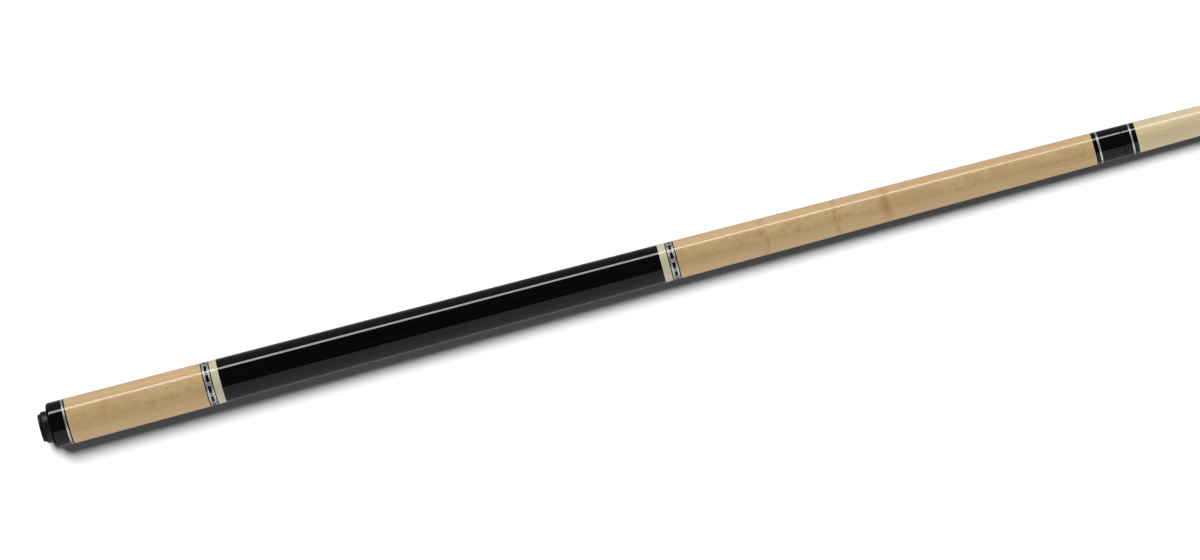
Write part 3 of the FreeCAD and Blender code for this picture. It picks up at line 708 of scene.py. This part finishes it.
white_resin = Finish("white_resin", Specular_IOR_Level=0.5)
resin_cloud = white_resin.noise((140, 200, 200), detail=3)
white_resin.use("Base Color", white_resin.ramp(
    resin_cloud, (0.3, colour(226, 222, 208)), (0.7, colour(238, 235, 224))))
white_resin.use("Roughness", white_resin.scale_to(resin_cloud, 0.3, 0.7, 0.2, 0.3))
ferrule_outline = [(ferrule_start, FERRULE_TENON), (ferrule_start, tip_radius),
                   (ferrule_end, tip_radius), (ferrule_end, 0), (ferrule_bottom, 0),
                   (ferrule_bottom, FERRULE_TENON), (ferrule_start, FERRULE_TENON)]
fit(turn("white_ferrule", ferrule_outline), white_resin.material, "ferrule_resin", "shaft", "ferrule")

fibre = Finish("vulcanised_fibre")
fibre_weave = fibre.noise((2400, 1100, 1100), detail=4)
fibre.use("Base Color", fibre.ramp(
    fibre_weave, (0.3, colour(36, 35, 36)), (0.7, colour(58, 56, 56))))
fibre.use("Roughness", fibre.scale_to(fibre_weave, 0.3, 0.7, 0.45, 0.65))
fibre.bump(fibre_weave, 0.3, 0.00004)
pad_start, pad_end, _ = reach("tip_pad")
pad_outline = [(pad_start, 0), (pad_start, tip_radius), (pad_end, tip_radius), (pad_end, 0)]
fit(turn("fibre_pad", pad_outline), fibre.material, "fibre", "shaft", "tip_pad")

leather = Finish("layered_leather")
leather_fibres = leather.noise((1800, 900, 900), detail=5, roughness=0.65)
leather_layers = leather.add("ShaderNodeTexWave", {
    "Vector": leather.place, "Scale": 480.0, "Distortion": 1.2, "Detail": 2.0, "Detail Scale": 3.0},
    bands_direction="X")
hide = leather.ramp(leather_fibres, (0.3, colour(88, 60, 42)), (0.7, colour(132, 98, 70)))
hide = leather.blend(leather.scale_to(leather_layers.outputs["Fac"], 0.75, 0.98, 0.0, 0.7), hide,
                     colour(58, 40, 30))
leather.use("Base Color", hide)
leather.use("Roughness", leather.scale_to(leather_fibres, 0.3, 0.7, 0.5, 0.8))
leather.bump(leather_fibres, 0.4, 0.00008)
tip_start, tip_end, _ = reach("tip")
shoulder = tip_start + TIP_SIDE
crown = tip_end - shoulder
crown_radius = (tip_radius ** 2 + crown ** 2) / (2 * crown)
crown_half = math.degrees(math.asin(tip_radius / crown_radius))
tip_outline = [(tip_start, 0)]
for step in range(TIP_STEPS + 1):
    share = step / TIP_STEPS
    swell = TIP_SWELL * 4 * share * (1 - share)
    tip_outline.append((tip_start + TIP_SIDE * share, tip_radius + swell))
tip_outline += arc(tip_end - crown_radius, 0, crown_radius, crown_half, 0, TIP_STEPS)[1:]
fit(turn("leather_tip", tip_outline), leather.material, "tip_leather", "shaft", "tip")


# ---- Floor --------------------------------------------------------------------------------------
# A plain white floor. The cue lies on it on its handle's front end and the side of its tip, so the
# floor is tilted by the little that the cue tapers.

FLOOR_SIZE = 150.0
FLOOR_CELLS = 100

floor_paint = Finish("plain_white_floor", Specular_IOR_Level=0.0, Roughness=0.9)
floor_cloud = floor_paint.noise((0.6, 0.6, 0.6), detail=2)
floor_paint.use("Base Color", floor_paint.ramp(
    floor_cloud, (0.3, colour(248, 248, 248)), (0.7, colour(250, 250, 250))))
contact, contact_radius = handle_end, butt_radius(handle_end)
floor_slope = math.atan2(contact_radius - tip_radius, shoulder - contact)
floor_middle = (contact + shoulder) / 2
bpy.ops.object.select_all(action="DESELECT")
bpy.ops.mesh.primitive_grid_add(x_subdivisions=FLOOR_CELLS, y_subdivisions=FLOOR_CELLS,
                                size=FLOOR_SIZE,
                                location=(floor_middle, 0, -(contact_radius + tip_radius) / 2),
                                rotation=(0, -floor_slope, 0))
floor = bpy.context.object
floor.name = "floor"
floor.data.materials.append(floor_paint.material)
floor.visible_glossy = False
floor.visible_shadow = False
floor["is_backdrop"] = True


# ---- Lights -------------------------------------------------------------------------------------
# Soft studio light. Long softboxes give the lacquer its bright line and its grey band, and the bare
# and the inlaid metal have their own. Wide lamps fill the wood, and one draws the floor's shadow.

SOFTBOX_LENGTH = 3.4
SOFTBOX_DISTANCE = 1.4
STRIP_EDGES = (61.5, 73.3)             # of the bright strip, in degrees from straight above
SHADOW_ROLL = math.radians(-16)        # tips the floor's lamp along the cue, and the shadow with it
ROOM_GREY = (0.01, 0.01, 0.01, 1)
HAIRLINE_PIECES = "hairlines"
SILVER_PIECES = (HAIRLINE_PIECES, "inlaid_bars")
STEEL_PIECES = ("joint_pin", "bumper_stud", "bumper_plate", "end_insert", "shaft_insert")

cue_light = bpy.data.collections.new("lights_on_the_cue")
lacquer_light = bpy.data.collections.new("lights_on_the_lacquer")
silver_light = bpy.data.collections.new("lights_on_the_silver")
hairline_light = bpy.data.collections.new("lights_on_the_hairlines")
steel_light = bpy.data.collections.new("lights_on_the_steel")
floor_light = bpy.data.collections.new("lights_on_the_floor")
floor_light.objects.link(floor)
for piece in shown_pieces():
    piece.visible_diffuse = False
    cue_light.objects.link(piece)
    if piece.name.endswith(SILVER_PIECES):
        silver_light.objects.link(piece)
        if piece.name.endswith(HAIRLINE_PIECES):
            hairline_light.objects.link(piece)
    elif piece.name.endswith(STEEL_PIECES):
        steel_light.objects.link(piece)
    else:
        lacquer_light.objects.link(piece)


def place_light(name, data, angle, receivers, roll=0.0):
    """Lamp beside the cue, aimed at it, at an angle from straight above."""
    lamp = bpy.data.objects.new(name, data)
    bpy.context.scene.collection.objects.link(lamp)
    lean = math.radians(angle)
    middle = (cad_box[0].x + cad_box[1].x) / 2
    lamp.location = (middle, SOFTBOX_DISTANCE * math.sin(lean), SOFTBOX_DISTANCE * math.cos(lean))
    lamp.rotation_euler = (-lean, roll, 0)
    lamp.visible_camera = False
    lamp.light_linking.receiver_collection = receivers
    return lamp


def softbox(name, low, high, radiance, receivers):
    """Long softbox that only shows in gloss, between two angles from straight above."""
    data = bpy.data.lights.new(name, "AREA")
    data.shape = "RECTANGLE"
    data.size = SOFTBOX_LENGTH
    data.size_y = 2 * SOFTBOX_DISTANCE * math.tan(math.radians(high - low) / 2)
    data.energy = radiance * math.pi * data.size * data.size_y
    lamp = place_light(name, data, (low + high) / 2, receivers)
    lamp.visible_diffuse = False


def soft_lamp(name, angle, spread, strength, receivers, roll=0.0):
    """Far soft lamp that only fills, and doesn't show in gloss."""
    data = bpy.data.lights.new(name, "SUN")
    data.angle = math.radians(spread)
    data.energy = strength * math.pi
    lamp = place_light(name, data, angle, receivers, roll)
    lamp.visible_glossy = False
    return lamp


softbox("bright_strip", *STRIP_EDGES, 8.5, lacquer_light)
softbox("upper_card", 78, 138, 0.14, cue_light)
softbox("upper_rim_card", 138, 168, 0.32, cue_light)
softbox("lower_panel", -106, -36, 0.45, lacquer_light)
softbox("lower_rim_card", -168, -106, 0.33, lacquer_light)
softbox("silver_strip", *STRIP_EDGES, 1.0, silver_light)
softbox("silver_upper_card", 96, 168, 0.40, silver_light)
softbox("silver_lower_card", -168, -96, 0.45, silver_light)
softbox("hairline_upper_card", 34, 92, 0.80, hairline_light)
softbox("hairline_lower_card", -110, -32, 0.85, hairline_light)
softbox("steel_strip", 60, 82, 2.5, steel_light)
softbox("steel_upper_card", 82, 168, 0.14, steel_light)
softbox("steel_lower_card", -168, -40, 0.75, steel_light)
soft_lamp("tent", 0, 180, 0.58, cue_light)
soft_lamp("key", 65, 30, 0.39, cue_light)
soft_lamp("fill", -60, 40, 0.12, cue_light)
soft_lamp("floor_lamp", 27, 26, 1.28, floor_light, SHADOW_ROLL)
floor_fill = soft_lamp("floor_fill", 0, 20, 0.05, floor_light)
floor_fill.data.use_shadow = False
for tent_name, tent_strength, tent_receivers in (("silver_tent", 0.42, silver_light),
                                                 ("steel_tent", 0.05, steel_light)):
    metal_tent = soft_lamp(tent_name, 0, 180, tent_strength, tent_receivers)
    metal_tent.visible_glossy = True

world = bpy.data.worlds.new("studio")
world.use_nodes = True
world.node_tree.nodes["Background"].inputs["Color"].default_value = ROOM_GREY
bpy.context.scene.world = world
bpy.context.scene.view_settings.view_transform = "Standard"


# ---- Camera -------------------------------------------------------------------------------------
# A long lens straight above the cue, turned so that the cue runs from lower left to upper right.
# It takes in the whole butt and the start of the shaft.

CUE_SLOPE = math.radians(14.88)
VIEW_WIDTH = 0.790
AIM = (0.381, 0.0)
LENS = 250.0
SENSOR = 36.0
SIGHT = 200                            # how far the camera sees

camera_data = bpy.data.cameras.new("camera")
camera_data.lens = LENS
camera_data.sensor_width = SENSOR
camera_data.clip_end = SIGHT
camera = bpy.data.objects.new("camera", camera_data)
bpy.context.scene.collection.objects.link(camera)
camera.location = (AIM[0], AIM[1], VIEW_WIDTH * LENS / SENSOR)
camera.rotation_euler = (0, 0, -CUE_SLOPE)
bpy.context.scene.camera = camera
